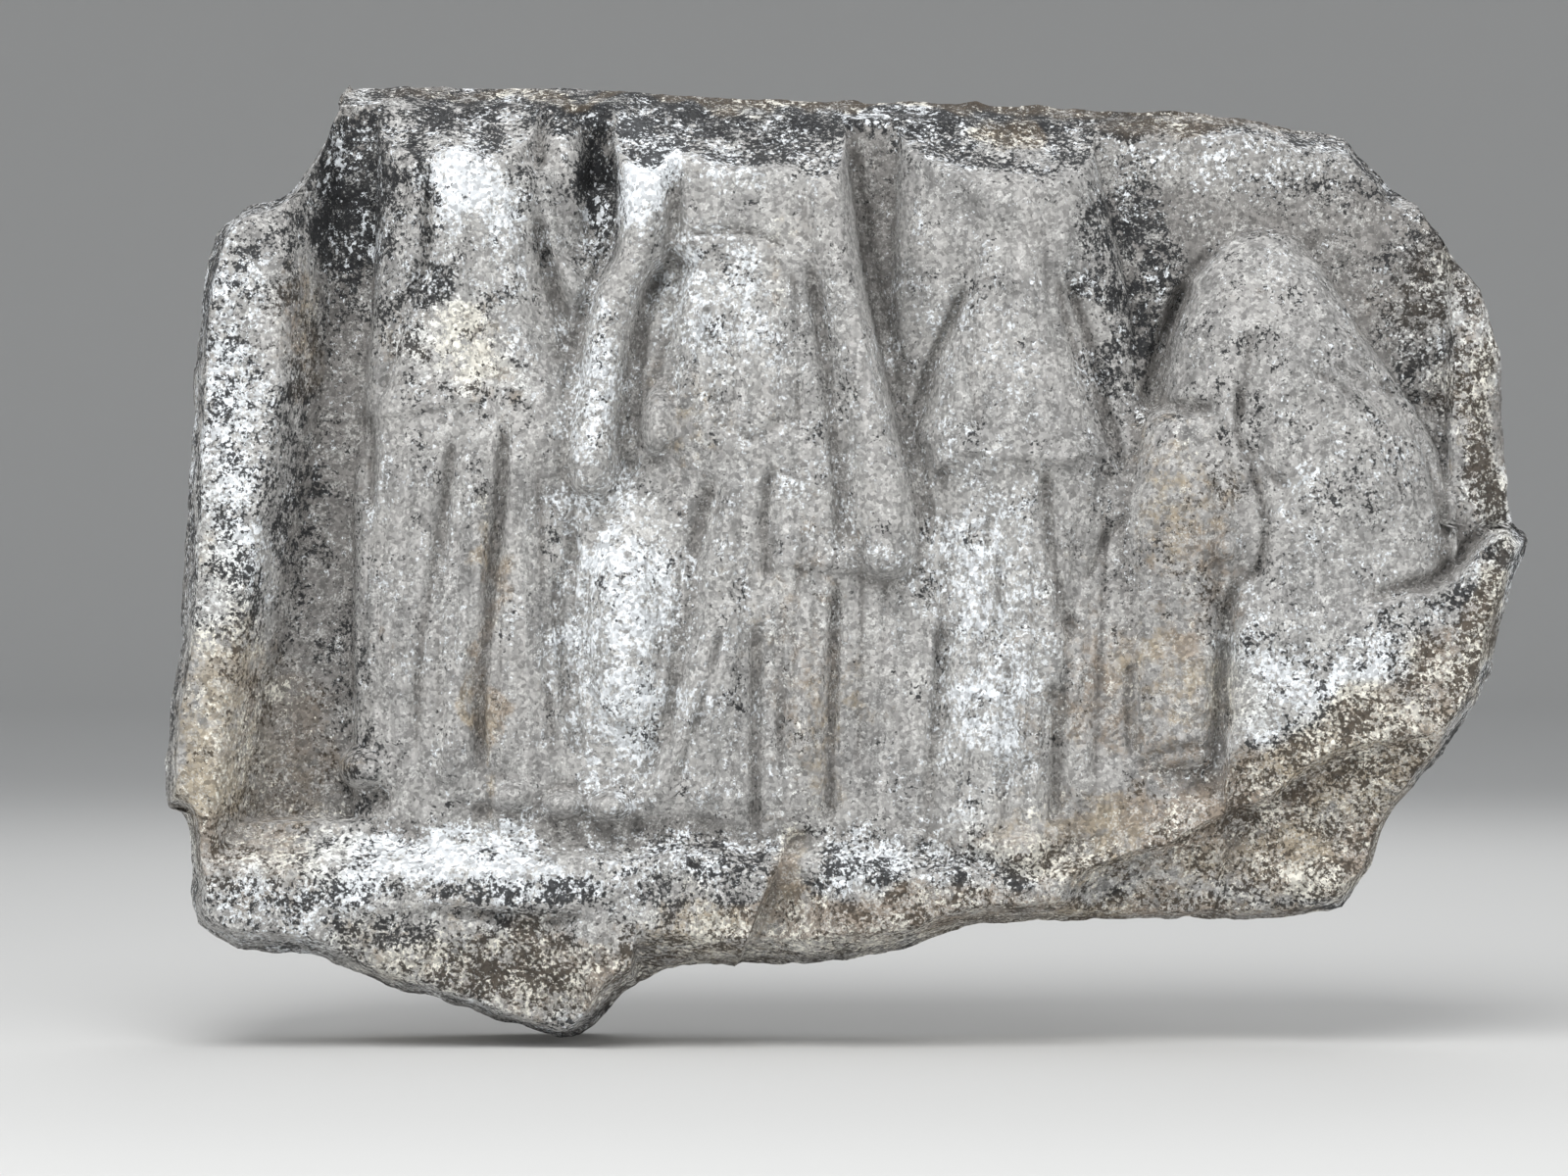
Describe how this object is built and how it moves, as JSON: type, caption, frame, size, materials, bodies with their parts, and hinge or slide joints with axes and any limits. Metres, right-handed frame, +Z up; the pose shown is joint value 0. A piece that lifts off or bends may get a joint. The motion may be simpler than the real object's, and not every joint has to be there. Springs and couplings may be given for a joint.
{
  "type": "stone relief panel",
  "caption": "Broken carved stone relief panel: headless draped figures side by side between raised borders, over a ledge, flat at the back.",
  "frame": {"origin": "on the flat back, at the middle of the block, where the panel is fixed to its wall or stand", "axes": "+X to the right along the row of figures, +Y out of the flat back, +Z up; the carved front faces -Y"},
  "size_m": [1.1055, 0.192, 0.7781],
  "materials": {
    "stone": "weathered grey marble, matt, speckled with pale and dark crust"
  },
  "bodies": {
    "root": {"relief_block": "stone"}
  },
  "joints": []
}
